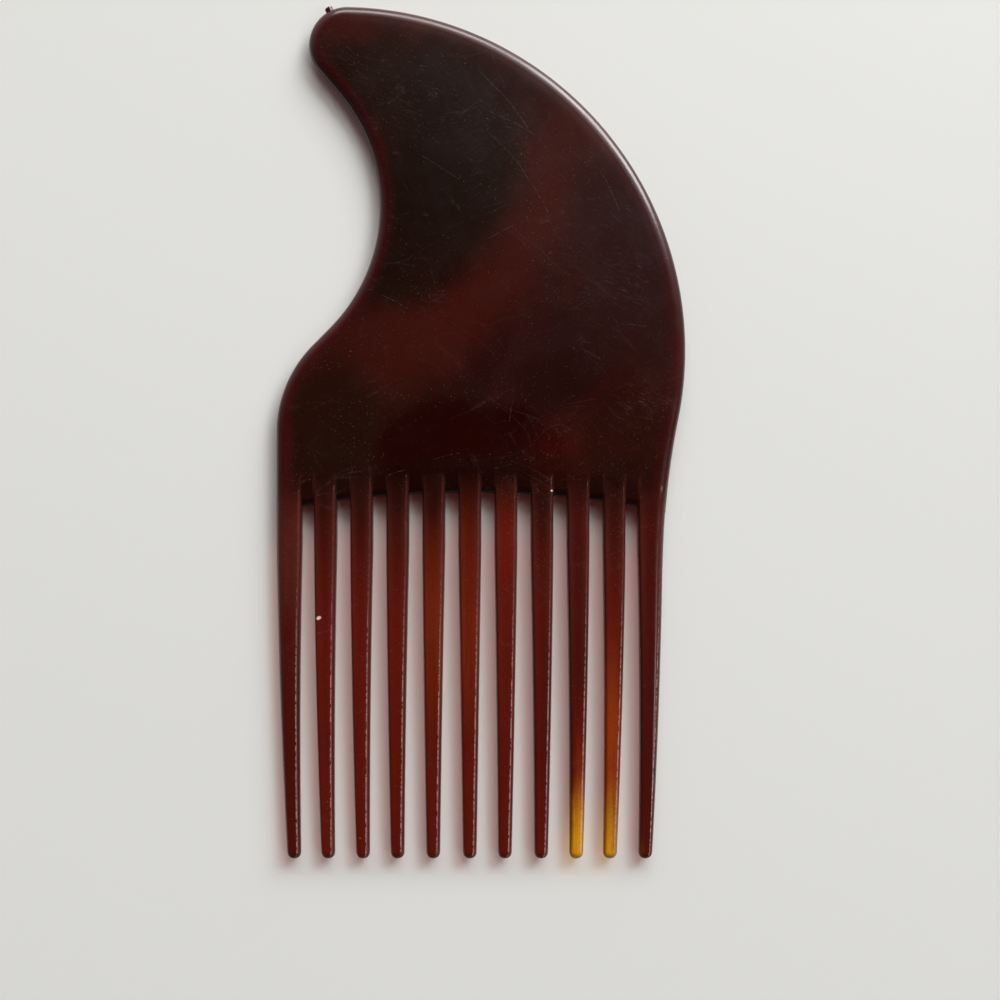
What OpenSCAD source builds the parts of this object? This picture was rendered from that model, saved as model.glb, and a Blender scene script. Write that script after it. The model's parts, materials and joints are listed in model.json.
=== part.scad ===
// Hair pick: one flat plastic moulding, a hooked fin-shaped grip above a row of long tapered teeth.
// It lies on its back face with +Z up, and the knob of the grip points towards +Y.
// The origin is at the middle of its length and width, on the face that it rests on.
// The moulding is one piece. Here its teeth are solids of their own that meet the grip face to face,
// just below the ends of the gaps, so that the gaps between them stay open for whatever goes through.
// All sizes are in millimetres and all angles in degrees.

/* [Grip] */
// Length from the tips of the teeth to the top of the fin
comb_l = 150; // [146:1:156]
// Width from the shoulder to the back curve
comb_w = 72; // [71:0.5:75]
// Thickness of the grip
grip_t = 3; // [2.6:0.1:4]
// Width of the rounded rim, seen from above
rim_w = 1.4; // [0.6:0.1:2]
// Radius of the long curve along the back
back_r = 60.5; // [59:0.5:61.5]
// Radius of the knob at the end of the hook
knob_r = 6.7; // [6:0.1:7.5]
// Direction from the middle of the back curve to the knob
knob_angle = 89; // [86:0.5:90]
// Radius of the hollow that a finger hooks into
bay_r = 30.4; // [29:0.1:31]
// Middle of the hollow, measured from the left edge
bay_x = -12.2; // [-14:0.1:-12]
// Middle of the hollow, measured up from the middle of the length
bay_y = 39.9; // [39:0.1:41]
// Radius of the shoulder over the first tooth
shoulder_r = 21.7; // [18:0.1:21.7]
// Height of the shoulder's widest place, measured up from the middle of the length
shoulder_y = 0.1; // [-1:0.1:1]
// Radius of the flare between the back curve and the last tooth
flare_r = 135; // [120:1:150]

/* [Teeth] */
// Number of teeth
tooth_n = 11; // [9:1:11]
// Distance from tooth to tooth where they leave the grip
root_pitch = 6.35; // [6.2:0.01:6.5]
// Distance from tooth to tooth at their tips
tip_pitch = 6.18; // [6:0.01:6.35]
// Middle of the row, measured from the middle of the width
row_x = -1.97; // [-3:0.01:-1]
// Width of a tooth where it leaves the grip
root_w = 4.1; // [3.4:0.1:4.4]
// Width of a tooth at its tip
tip_w = 2.4; // [2:0.1:3]
// Extra width of the first and last tooth where they leave the grip
end_extra_w = 0.5; // [0:0.1:0.8]
// Thickness of a tooth where it leaves the grip
root_t = 2.84; // [2:0.01:2.9]
// Thickness of a tooth at its tip
tip_t = 1.8; // [1.4:0.1:2.4]
// Width of the rounded edge on each side of a tooth, seen from above
tooth_rim_w = 0.5; // [0.3:0.1:0.9]
// Length of the rounded end of a tooth
tip_round = 1.5; // [1:0.1:2]
// How far the outermost teeth bow outwards halfway along
bow = 0.28; // [0:0.01:0.4]

/* [Roots of the teeth] */
// Highest gap between two teeth, measured down from the middle of the length
root_y = 10.6; // [9:0.1:12]
// Radius of the arch on which the gaps end
arch_r = 174; // [160:1:200]
// Length of the slope from the face of the grip down to the end of a gap
slope_l = 3.9; // [2.5:0.1:5]
// Thickness of the grip at the end of a gap
web_t = 1.9; // [1.4:0.1:2.4]
// Depth of the rounded edge at the end of a gap
web_round = 1; // [0.4:0.1:1.4]

/* [Moulding mark] */
// Diameter of the stub that is left on the knob where the plastic went in
gate_d = 1.1; // [0.6:0.1:1.6]
// How far the stub stands out of the knob
gate_l = 0.5; // [0.2:0.1:1]
// Direction from the middle of the knob to the stub
gate_angle = 117; // [110:1:125]

/* [Hidden] */

half_t = grip_t / 2;
left_x = -comb_w / 2;
tip_y = -comb_l / 2;

// Circles that the outline of the grip follows
back_c = [comb_w / 2 - back_r, comb_l / 2 - back_r];
knob_c = back_c + (back_r - knob_r) * [cos(knob_angle), sin(knob_angle)];
bay_c = [left_x + bay_x, bay_y];
shoulder_c = [left_x + shoulder_r, shoulder_y];
arch_c = [row_x, -root_y - arch_r];

// The teeth: the row's half count, where they start inside the grip, and where they start to narrow
row_half = (tooth_n - 1) / 2;
tooth_top_y = -4.5;
taper_y = -20;

// How far the tip of each tooth leans aside from its even place, from left to right
tip_lean = [0, -0.2, -0.25, -0.35, -0.25, 0, 0, 0.2, 0.2, -0.05, 0];

// Outer side of the last tooth, and the circle that flares from it to the back curve
end_side_x = row_x + row_half * root_pitch + (root_w + end_extra_w) / 2;
flare_c = let (x = end_side_x + flare_r)
    [x, back_c.y - sqrt(pow(back_r + flare_r, 2) - pow(x - back_c.x, 2))];
flare_angle = atan2(flare_c.y - back_c.y, flare_c.x - back_c.x);

// Roundness of the edges in section: 2 is an ellipse, more is squarer
rim_power = 2.3;

// How finely the round stretches are divided. The faces of the grip are strips from side to side
// above the left side's point FAN_POINT, and a fan from that point below, so above it the right
// side has as many points as the left
SHOULDER_STEPS = 10;
BAY_STEPS = 24;
KNOB_STEPS = 22;
FAN_POINT = 4;
FLARE_STEPS = 5;
BACK_STEPS = SHOULDER_STEPS + BAY_STEPS + KNOB_STEPS + 1 - FLARE_STEPS - FAN_POINT;
ARCH_STEPS = 14;
RIM_STEPS = 5;
STUB_STEPS = 2;
BOW_STEPS = 3;
EDGE_STEPS = 4;

// Small distances: how far the end teeth stay inside the rim of the grip, and how far below the
// arch a tooth starts
TUCK = 0.03;
PART_GAP = 0.25;

function at(c, r, a) = c + r * [cos(a), sin(a)];
function mix(a, b, s) = a + (b - a) * s;
function arc(c, r, from, to, steps) = [for (k = [0 : steps]) at(c, r, mix(from, to, k / steps))];
function heading(v) = atan2(v.y, v.x);

// Angle on circle 1 where a straight line leaves it, to touch circle 2 from its other side
function cross_tangent(c1, r1, c2, r2, side) =
    heading(c2 - c1) + side * acos(min(1, (r1 + r2) / norm(c2 - c1)));
knob_leave = cross_tangent(knob_c, knob_r, bay_c, bay_r, -1) + 360;
shoulder_leave = cross_tangent(shoulder_c, shoulder_r, bay_c, bay_r, 1);

// Height of the arch at x, with the edge moved into the grip by inset
function arch_y(x, inset = 0) = arch_c.y + sqrt(pow(arch_r + inset, 2) - pow(x - arch_c.x, 2));

// The two sides of the grip from bottom to top, moved in by inset, where its lower edge is moved in
// by root_inset. The left side starts at the shoulder, and the right side at its lower corner
function left_side(inset) =
    concat(
        arc(shoulder_c, shoulder_r - inset, 180, shoulder_leave, SHOULDER_STEPS),
        arc(bay_c, bay_r + inset, shoulder_leave - 180, knob_leave - 180, BAY_STEPS),
        arc(knob_c, knob_r - inset, knob_leave, knob_angle + 4, KNOB_STEPS)
    );
function right_side(inset, root_inset) =
    let (corner_y = arch_y(end_side_x, root_inset),
         corner_angle = 180 - asin((corner_y - flare_c.y) / (flare_r + inset)))
    concat(
        arc(flare_c, flare_r + inset, corner_angle, flare_angle + 181, FLARE_STEPS),
        arc(back_c, back_r - inset, flare_angle, knob_angle, BACK_STEPS)
    );
function reversed(list) = [for (k = [len(list) - 1 : -1 : 0]) list[k]];

// Outline of the grip, clockwise: up its left side, down its right side and back along the arch
function grip_outline(inset, root_inset) =
    let (left = left_side(inset), right = right_side(inset, root_inset))
    concat(
        left,
        reversed(right),
        [for (k = [1 : ARCH_STEPS])
            let (x = mix(right[0].x, left[0].x, k / ARCH_STEPS)) [x, arch_y(x, root_inset)]]
    );

// Faces of the grip as seen from above, for a ring of n points of which left_n are on its left side
function grip_cap(n, left_n) =
    let (right_low = 2 * left_n - FAN_POINT - 1)
    concat(
        [for (i = [FAN_POINT : left_n - 2])
            let (right = right_low - (i - FAN_POINT)) [i, i + 1, right - 1, right]],
        [concat([FAN_POINT], [for (i = [right_low : n - 1]) i], [for (i = [0 : FAN_POINT - 1]) i])]
    );

// Height and inset of the rounded rim at step k, from the middle of the thickness to the face
function rim_z(k) = half_t * pow(sin(90 * k / RIM_STEPS), 2 / rim_power);
function rim_inset(k) = rim_w * (1 - pow(cos(90 * k / RIM_STEPS), 2 / rim_power));

// Inset of the lower edge at height z: a rounded edge, then a long slope up to the face
function root_inset(z) =
    z < web_t / 2
        ? web_round * (1 - sqrt(1 - pow(2 * z / web_t, 2)))
        : mix(web_round, slope_l, (z - web_t / 2) / (half_t - web_t / 2));

// Solid through a list of rings with the same number of points each. The faces that close its ends
// are the cap's, or a plain polygon
module loft(rings, cap) {
    n = len(rings[0]);
    last = (len(rings) - 1) * n;
    ends = is_undef(cap) ? [[for (i = [0 : n - 1]) i]] : cap;
    polyhedron(
        points = [for (ring = rings) each ring],
        faces = concat(
            [for (face = ends) concat([face[0]], [for (k = [len(face) - 1 : -1 : 1]) face[k]])],
            [for (j = [0 : n : last - n], i = [0 : n - 1])
                each [[j + i, j + (i + 1) % n, j + n + (i + 1) % n],
                      [j + i, j + n + (i + 1) % n, j + n + i]]],
            [for (face = ends) [for (i = face) last + i]]
        )
    );
}

module plate() {
    rings = [for (k = [-RIM_STEPS : RIM_STEPS])
        let (z = rim_z(abs(k)))
        [for (p = grip_outline(rim_inset(abs(k)), root_inset(z))) [p.x, p.y, half_t + sign(k) * z]]];
    loft(rings, grip_cap(len(rings[0]), len(left_side(0))));
}

// How far a tooth has narrowed at y, from 0 at its root to 1 at its tip, and how round its end is
function narrowing(y) = max(0, (taper_y - y) / (taper_y - tip_y));
function end_rounding(y) = sqrt(max(0, 1 - pow(max(0, tip_y + tip_round - y) / tip_round, 2)));

// How far the flare stands out past the straight side of the last tooth at y
function flare_out(y) =
    flare_c.x - sqrt(pow(flare_r, 2) - pow(max(0, y - flare_c.y), 2)) - end_side_x;

// Width and thickness of tooth i at y, and the middle of its width
function is_last(i) = i == tooth_n - 1;
function tooth_w(i, y) =
    let (end_w = i == 0 || is_last(i) ? end_extra_w - 2 * TUCK : 0,
         flare_w = is_last(i) ? flare_out(y) : 0)
    (mix(root_w + end_w, tip_w, narrowing(y)) + flare_w) * end_rounding(y);
function tooth_t(y) = mix(root_t, tip_t, narrowing(y)) * end_rounding(y);
function tooth_x(i, y) =
    let (s = narrowing(y), place = i - row_half)
    row_x + place * mix(root_pitch, tip_pitch, s) + bow * place / row_half * 4 * s * (1 - s)
        + s * tip_lean[i] + (is_last(i) ? flare_out(y) / 2 : 0);

// Width of the rounded edge of tooth i at y, on its right side (1) or its left side (-1). On the
// outer side of an end tooth it starts as wide as the rim of the grip
function is_outer(i, side) = side > 0 ? is_last(i) : i == 0;
function tooth_edge(i, side, y) =
    min(is_outer(i, side) ? mix(rim_w, tooth_rim_w, narrowing(y)) : tooth_rim_w, 0.45 * tooth_w(i, y));

// One side of the section of tooth i at y, from the front face to the back, or up again on the left
function section_side(i, side, y) =
    let (edge = tooth_edge(i, side, y))
    [for (k = [-EDGE_STEPS : EDGE_STEPS])
        let (a = -90 * side * k / EDGE_STEPS)
        [tooth_x(i, y) + side * (tooth_w(i, y) / 2 - edge * (1 - pow(abs(cos(a)), 2 / rim_power))),
         y,
         half_t + tooth_t(y) / 2 * sign(a) * pow(abs(sin(a)), 2 / rim_power)]];
function tooth_section(i, y) = concat(section_side(i, 1, y), section_side(i, -1, y));

// Where tooth i parts from its root in the grip: just below the arch on the tooth's lower side
function part_y(i) =
    arch_y(arch_c.x + abs(tooth_x(i, taper_y) - arch_c.x) + (root_w + end_extra_w) / 2) - PART_GAP;

// Root of tooth i: a ridge that comes out of the slope of the grip
module tooth_root(i) {
    loft([for (k = [0 : STUB_STEPS]) tooth_section(i, mix(tooth_top_y, part_y(i), k / STUB_STEPS))]);
}

// Tooth i below its root: its bowed shank and its round tip
shank_end_y = tip_y + tip_round;
module tooth(i) {
    places = concat(
        [part_y(i)],
        [for (k = [0 : BOW_STEPS]) mix(taper_y, shank_end_y, k / BOW_STEPS)],
        [for (s = [0.45, 0.72, 0.9, 0.99]) shank_end_y - s * tip_round]
    );
    loft([for (y = places) tooth_section(i, y)]);
}

module gate_stub() {
    translate([knob_c.x, knob_c.y, half_t])
        rotate([0, 90, gate_angle])
            cylinder(d = gate_d, h = knob_r + gate_l, $fn = 24);
}

module grip() {
    color("#3d1a14")
        union() {
            plate();
            for (i = [0 : tooth_n - 1])
                tooth_root(i);
            gate_stub();
        }
}

module teeth() {
    color("#5a1f12")
        for (i = [0 : tooth_n - 1])
            tooth(i);
}

grip();
teeth();
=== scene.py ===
"""Hair pick in tortoiseshell plastic: models the visible moulding round its solids, and sets a plain stage.

Lengths are in metres in the scene, with +Z up, +Y towards the knob of the grip and the back face on
the floor. The tables below give places and sizes in millimetres, as they are written on a drawing.
"""

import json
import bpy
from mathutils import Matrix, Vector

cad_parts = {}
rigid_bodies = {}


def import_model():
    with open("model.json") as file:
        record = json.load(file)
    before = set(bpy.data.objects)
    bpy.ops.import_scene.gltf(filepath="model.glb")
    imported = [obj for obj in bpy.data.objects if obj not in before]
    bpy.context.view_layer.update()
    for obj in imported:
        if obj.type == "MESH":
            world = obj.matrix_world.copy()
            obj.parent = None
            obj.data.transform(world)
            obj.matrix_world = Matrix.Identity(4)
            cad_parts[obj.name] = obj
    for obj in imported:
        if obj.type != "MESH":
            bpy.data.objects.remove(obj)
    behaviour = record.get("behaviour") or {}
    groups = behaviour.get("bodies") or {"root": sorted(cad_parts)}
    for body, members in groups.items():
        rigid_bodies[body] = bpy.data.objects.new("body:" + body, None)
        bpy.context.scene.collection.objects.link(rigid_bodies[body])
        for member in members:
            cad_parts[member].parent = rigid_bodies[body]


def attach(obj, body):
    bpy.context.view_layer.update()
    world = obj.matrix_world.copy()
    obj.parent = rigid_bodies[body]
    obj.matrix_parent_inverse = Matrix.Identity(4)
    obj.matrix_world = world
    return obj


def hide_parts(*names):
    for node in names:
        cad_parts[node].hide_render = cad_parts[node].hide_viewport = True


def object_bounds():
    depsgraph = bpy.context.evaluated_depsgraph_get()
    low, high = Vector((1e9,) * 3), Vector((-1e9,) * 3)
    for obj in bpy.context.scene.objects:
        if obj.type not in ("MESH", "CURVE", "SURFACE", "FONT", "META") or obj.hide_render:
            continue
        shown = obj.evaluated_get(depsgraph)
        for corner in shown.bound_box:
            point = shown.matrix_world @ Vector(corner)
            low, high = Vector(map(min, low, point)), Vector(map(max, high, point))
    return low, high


bl_info = {
    "name": "Tortoiseshell Hair Pick",
    "version": (1, 0, 0),
    "blender": (4, 5, 0),
    "location": "View3D > Sidebar > Hair Pick",
    "description": "Models a moulded hair pick, its tortoiseshell plastic and a plain stage for it",
    "category": "Add Mesh",
}

from collections import namedtuple
from math import acos, atan2, cos, pi, radians, sin, sqrt

import bmesh
import bpy
from bpy.props import FloatProperty, FloatVectorProperty, IntProperty, PointerProperty
from mathutils import Vector
from mathutils.geometry import intersect_sphere_sphere_2d
from mathutils.kdtree import KDTree

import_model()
CAD_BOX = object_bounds()
MM = 0.001

# How close two points are to be the same one
SAME_PLACE = 0.002 * MM


def length(name, about, size):
    """A length in a settings group, given in millimetres."""
    return FloatProperty(name=name, description=about, default=size * MM, unit="LENGTH", precision=5)


def angle(name, about, turn):
    """An angle in a settings group, given in degrees."""
    return FloatProperty(name=name, description=about, default=radians(turn), subtype="ANGLE")


def share(name, about, value):
    """A plain number from 0 to 1 in a settings group."""
    return FloatProperty(name=name, description=about, default=value, min=0, max=1, subtype="FACTOR")


def on_screen(red, green, blue):
    """The scene's colour for one that a screen shows with these values from 0 to 255."""
    linear = []
    for value in (red, green, blue):
        part = value / 255
        linear.append(part / 12.92 if part < 0.04045 else ((part + 0.055) / 1.055) ** 2.4)
    return tuple(linear)


def colour(name, about, shown):
    """A colour in a settings group, given as a screen shows it."""
    return FloatVectorProperty(
        name=name, description=about, default=on_screen(*shown), subtype="COLOR", min=0, max=1
    )


class GripSizes(bpy.types.PropertyGroup):
    """Sizes of the grip. Its length, width and thickness are the solids' own."""

    rim_width: length("Rim width", "Width of the rounded rim", 2.25)
    back_radius: length("Back radius", "Radius of the long curve along the back", 60.5)
    knob_radius: length("Knob radius", "Radius of the knob at the end of the hook", 6.7)
    knob_direction: angle("Knob direction", "Direction from the back curve's middle", 89)
    bay_radius: length("Bay radius", "Radius of the hollow that a finger hooks into", 30.4)
    bay_x: length("Bay place", "Middle of the hollow, from the left edge", -12.2)
    bay_y: length("Bay height", "Middle of the hollow, up from the middle", 39.9)
    shoulder_radius: length("Shoulder radius", "Radius of the shoulder over the first tooth", 21.7)
    shoulder_y: length("Shoulder height", "Height of the shoulder's widest place", 0.1)
    flare_radius: length("Flare radius", "Radius of the flare down to the last tooth", 135)
    arch_radius: length("Arch radius", "Radius of the arch on which the gaps end", 174)
    gap_top: length("Gap top", "Highest gap's end, down from the middle", 10.6)
    slope_length: length("Slope length", "Length of the slope down to a gap", 3.9)
    web_thickness: length("Web thickness", "Thickness of the grip at the end of a gap", 1.9)
    web_round: length("Web rounding", "Depth of the rounded edge at the end of a gap", 1.0)
    seam_height: length("Seam height", "Height of the line where the mould parted", 0.03)
    gate_diameter: length("Gate diameter", "Diameter of the stub of the gate", 1.4)
    gate_height: length("Gate height", "How far the stub stands out of the knob", 0.6)
    gate_direction: angle("Gate direction", "Direction from the knob's middle", 117)


class TeethSizes(bpy.types.PropertyGroup):
    """Sizes of the row of teeth."""

    count: IntProperty(name="Teeth", description="Number of teeth", default=11, min=3, max=11)
    row_x: length("Row place", "Middle of the row, from the middle", -1.97)
    root_pitch: length("Root pitch", "Distance from tooth to tooth at the grip", 6.35)
    tip_pitch: length("Tip pitch", "Distance from tooth to tooth at their tips", 6.18)
    root_width: length("Root width", "Width of a tooth at the grip", 4.1)
    tip_width: length("Tip width", "Width of a tooth at its tip", 2.4)
    end_extra: length("End tooth extra", "Extra width of the first and last tooth at the grip", 0.44)
    root_thickness: length("Root thickness", "Thickness of a tooth at the grip", 2.96)
    tip_thickness: length("Tip thickness", "Thickness of a tooth at its tip", 1.8)
    edge_width: length("Edge width", "Width of the rounded edge of a tooth", 0.72)
    tip_round: length("Tip rounding", "Length of the rounded end of a tooth", 1.3)
    bow: length("Bow", "How far the end teeth bow outwards", 0.28)
    top_y: length("Top", "Where a tooth starts inside the grip, from the middle", -4.5)
    taper_y: length("Taper", "Where a tooth starts to narrow, from the middle", -20)


class PlasticLook(bpy.types.PropertyGroup):
    """Colours and finish of the plastic, with the colours of its painted glow, highlights and shade."""

    resin: colour("Resin", "Red-brown of the plastic between its patches", (52, 15, 10))
    cloud: colour("Cloud", "Darker clouds in the resin", (38, 9, 6))
    ember: colour("Ember", "Clear red patches", (63, 18, 12))
    smoke: colour("Smoke", "Grey-brown smoky patches", (26, 12, 6))
    damson: colour("Damson", "Purple-black patches", (40, 14, 13))
    olive: colour("Olive", "Olive-brown patches", (34, 14, 6))
    night: colour("Night", "Nearly black patch over the roots of the teeth", (33, 2, 0))
    umber: colour("Umber", "Dark brown of the roots of the teeth", (27, 8, 4))
    bark: colour("Bark", "Brown patch beside the last tooth", (43, 14, 8))
    # Painted glow: wine red near the rim stands for light passing through the thin plastic there
    painted_rim_glow: colour("Wine", "Wine red just inside the rim", (62, 13, 15))
    # Painted shade: nearly black on the rounded ends of the gaps, which face away from the light
    painted_gap_shade: colour("Web", "Dark rounded ends of the gaps between the teeth", (30, 2, 1))
    tooth: colour("Tooth", "Thin plastic of the teeth", (96, 22, 9))
    tooth_root: colour("Tooth root", "Thicker plastic at the roots of the teeth", (42, 11, 6))
    # Painted sheen: greyish bands that stand for the reflection on the rounded sides of the teeth, and
    # light lines near their roots
    flank_sheen: colour("Tooth flank", "Greyish bands along the sides of the teeth", (96, 44, 36))
    # Painted shade: a dark line right at the sides of the teeth, where their rounded edges turn away from
    # the light
    outer: colour("Tooth edge", "Dark line along the sides of the teeth", (60, 20, 16))
    # Painted highlight: a broken light line that stands for the reflection of a window on the right edges
    # of the teeth
    glint: colour("Glint", "Worn, broken line along the right side of the teeth", (200, 165, 158))
    shaded: colour("Shaded tooth", "Teeth that are darker than the others", (70, 16, 11))
    scarlet: colour("Scarlet", "Clear red stretches of some teeth", (106, 24, 6))
    orange: colour("Orange", "Orange stretches of some teeth", (150, 56, 12))
    amber: colour("Amber", "Amber ends of two teeth", (218, 148, 20))
    dust: colour("Dust", "Specks, scratches and scuffs on the surface", (150, 135, 128))
    chip: colour("Chip", "Freshly broken plastic in a chip", (235, 215, 205))
    roughness: share("Roughness", "Roughness of the satin gloss", 0.2)
    scuffing: share("Scuffing", "How strongly the fine scratches show", 0.48)
    shadow: colour("Shadow tint", "Light that one surface of the grip lets through", (130, 62, 50))
    tooth_shadow: colour("Tooth shadow", "Light that one side of a tooth lets through", (200, 146, 134))


class StageSizes(bpy.types.PropertyGroup):
    """The camera, the floor and the light."""

    view_x: length("View across", "Where the camera looks at the floor, from the middle", 3.35)
    view_y: length("View along", "Where the camera looks at the floor, from the middle", -11.84)
    view_height: length("Camera height", "Height of the camera over the pick", 200)
    view_width: length("View width", "Width of what the camera sees there", 176.3)
    floor: colour("Floor", "Plain pale floor", (233, 233, 230))
    light: FloatProperty(name="Light", description="Brightness of the windows", default=7.4)


class HairPickSettings(bpy.types.PropertyGroup):
    """All that can be changed on the hair pick and its stage."""

    grip: PointerProperty(type=GripSizes)
    teeth: PointerProperty(type=TeethSizes)
    plastic: PointerProperty(type=PlasticLook)
    stage: PointerProperty(type=StageSizes)


Circle = namedtuple("Circle", "centre radius")
Arc = namedtuple("Arc", "circle start end steps")

# One level of the grip: how far its outline is moved in from the edge, its height over the middle
# of the thickness, and how far its lower side is moved in from the crest line
Level = namedtuple("Level", "inset height crest_inset")

# How far the tip of each tooth leans aside from its even place, from left to right, in millimetres
TIP_LEAN = (0, -0.2, -0.25, -0.35, -0.25, 0, 0, 0.2, 0.2, -0.05, 0)


def at(circle, turn):
    """The point of a circle in the direction turn."""
    return circle.centre + circle.radius * Vector((cos(turn), sin(turn)))


def heading(way):
    """The direction of a way, as an angle."""
    return atan2(way.y, way.x)


def cross_tangent(first, second, side):
    """Direction on the first circle where a straight line leaves it for the other side of the second."""
    way = second.centre - first.centre
    return heading(way) + side * acos(min(1, (first.radius + second.radius) / way.length))


def mix(first, second, part):
    """The value that lies part of the way from first to second."""
    return first + (second - first) * part


class Plan:
    """The circles that the pick's outline follows and the places of its teeth, from the settings."""

    def __init__(self, settings):
        self.sizes = settings.grip
        self.row = settings.teeth
        low, high = CAD_BOX
        self.left_x = low.x
        self.tip_y = low.y
        self.thickness = high.z
        self.half_t = high.z / 2
        last_x = self.row.row_x + self.half_row * self.row.root_pitch
        self.end_side_x = last_x + (self.row.root_width / 2 + END_SIDE)
        sizes = self.sizes
        back_centre = Vector((high.x, high.y)) - Vector((1, 1)) * sizes.back_radius
        self.back = Circle(back_centre, sizes.back_radius)
        neck = Circle(back_centre, sizes.back_radius - sizes.knob_radius)
        self.knob = Circle(at(neck, sizes.knob_direction), sizes.knob_radius)
        self.bay = Circle(Vector((low.x + sizes.bay_x, sizes.bay_y)), sizes.bay_radius)
        shoulder_centre = Vector((low.x + sizes.shoulder_radius, sizes.shoulder_y))
        self.shoulder = Circle(shoulder_centre, sizes.shoulder_radius)
        flare_x = self.end_side_x + sizes.flare_radius
        reach = sizes.back_radius + sizes.flare_radius
        flare_y = back_centre.y - sqrt(reach**2 - (flare_x - back_centre.x) ** 2)
        self.flare = Circle(Vector((flare_x, flare_y)), sizes.flare_radius)
        arch_centre = Vector((self.row.row_x, -sizes.gap_top - sizes.arch_radius))
        self.arch = Circle(arch_centre, sizes.arch_radius)
        self.crest = Circle(arch_centre, sizes.arch_radius + sizes.slope_length)

    @property
    def half_row(self):
        """Half the number of gaps."""
        return (self.row.count - 1) / 2

    def crest_corners(self, level):
        """Left and right end of the line where the face turns into the slope, on one level."""
        crest = Circle(self.crest.centre, self.crest.radius + level.crest_inset)
        flare = Circle(self.flare.centre, self.flare.radius + level.inset)
        left_x = self.left_x + level.inset
        left_y = crest.centre.y + sqrt(crest.radius**2 - (left_x - crest.centre.x) ** 2)
        meetings = intersect_sphere_sphere_2d(crest.centre, crest.radius, flare.centre, flare.radius)
        return crest, Vector((left_x, left_y)), max(meetings, key=lambda place: place.y)

    def outline(self, level):
        """The arcs round the grip on one level: shoulder, bay, knob, back, flare and crest."""
        shoulder_leave = cross_tangent(self.shoulder, self.bay, 1)
        knob_leave = cross_tangent(self.knob, self.bay, -1) + 2 * pi
        knob_end = self.sizes.knob_direction
        flare_turn = heading(self.flare.centre - self.back.centre)
        crest, left, right = self.crest_corners(level)
        flare_end = heading(right - self.flare.centre)

        def moved_in(circle, way):
            return Circle(circle.centre, circle.radius + way * level.inset)

        return (
            Arc(moved_in(self.shoulder, -1), pi, shoulder_leave, SHOULDER_STEPS),
            Arc(moved_in(self.bay, 1), shoulder_leave - pi, knob_leave - pi, BAY_STEPS),
            Arc(moved_in(self.knob, -1), knob_leave, knob_end, KNOB_STEPS),
            Arc(moved_in(self.back, -1), knob_end, flare_turn, BACK_STEPS),
            Arc(moved_in(self.flare, 1), flare_turn + pi, flare_end, FLARE_STEPS),
            Arc(crest, heading(right - crest.centre), heading(left - crest.centre), CREST_STEPS),
        )

    def levels(self):
        """The levels of the grip's upper half, the last ones over the face until it is flattened."""
        sizes = self.sizes
        rise = self.half_t - SEAM_HALF
        levels = [Level(-sizes.seam_height, 0, 0)]
        for k in range(RIM_STEPS + 1):
            turn = pi / 2 * k / RIM_STEPS
            inset = sizes.rim_width * (1 - cos(turn) ** (2 / RIM_POWER))
            levels.append(Level(inset, SEAM_HALF + rise * sin(turn) ** (2 / RIM_POWER), 0))
        for step in FACE_RINGS:
            levels.append(Level(sizes.rim_width + step, self.half_t + step, step))
        return levels

    def flare_x(self, y):
        """The right edge of the pick at y, on the flare."""
        rise = max(0, y - self.flare.centre.y)
        return self.flare.centre.x - sqrt(self.flare.radius**2 - rise**2)

    def edge_points(self):
        """Points close together along the edge of the grip, all but its lower side."""
        level = Level(0, 0, 0)
        last = self.crest_corners(level)[1]
        points = []
        for arc in self.outline(level)[:-1]:
            start = at(arc.circle, arc.start)
            points += [last.lerp(start, k / EDGE_PARTS) for k in range(EDGE_PARTS)]
            parts = EDGE_PARTS * 4
            points += [at(arc.circle, mix(arc.start, arc.end, k / parts)) for k in range(parts + 1)]
            last = points[-1]
        return points

    def place_on_teeth(self, x, y):
        """How far x, y is in from its tooth's nearer and right side, and its place across the tooth."""
        i = min(range(self.row.count), key=lambda i: abs(x - self.tooth_x(i, y)))
        half_width = self.tooth_width(i, y) / 2
        off = x - self.tooth_x(i, y)
        return half_width - abs(off), half_width - off, off / max(SAME_PLACE, half_width) * MM

    def narrowing(self, y):
        """How far a tooth has narrowed at y, from 0 at its root to 1 at its tip."""
        return max(0, (self.row.taper_y - y) / (self.row.taper_y - self.tip_y))

    def end_rounding(self, y):
        """What is left of a tooth's width and thickness at y, in its rounded end."""
        reach = max(0, self.tip_y + self.row.tip_round - y) / self.row.tip_round
        return (1 - reach**TIP_POWER) ** (1 / TIP_POWER)

    def flare_out(self, i, y):
        """How far the flare stands out past the straight side of the last tooth at y."""
        return self.flare_x(y) - self.end_side_x if i == self.row.count - 1 else 0

    def tooth_x(self, i, y):
        """Middle of tooth i at y."""
        part = self.narrowing(y)
        place = i - self.half_row
        pitch = mix(self.row.root_pitch, self.row.tip_pitch, part)
        bow = self.row.bow * place / self.half_row * 4 * part * (1 - part)
        return self.row.row_x + place * pitch + bow + part * TIP_LEAN[i] * MM + self.flare_out(i, y) / 2

    def tooth_width(self, i, y):
        """Width of tooth i at y."""
        extra = self.row.end_extra if i in (0, self.row.count - 1) else 0
        width = mix(self.row.root_width + extra, self.row.tip_width, self.narrowing(y))
        return (width + self.flare_out(i, y)) * self.end_rounding(y)

    def tooth_thickness(self, y):
        """Thickness of a tooth at y."""
        thickness = mix(self.row.root_thickness, self.row.tip_thickness, self.narrowing(y))
        return thickness * self.end_rounding(y)

    def tooth_edge(self, i, side, y):
        """Width of the rounded edge of tooth i at y, on its left (-1) or right (1) side."""
        outer = self.row.count - 1 if side > 0 else 0
        at_root = self.sizes.rim_width if i == outer else self.row.edge_width
        width = mix(at_root, self.row.edge_width, self.narrowing(y))
        return min(width, EDGE_LIMIT * self.tooth_width(i, y))


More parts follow.
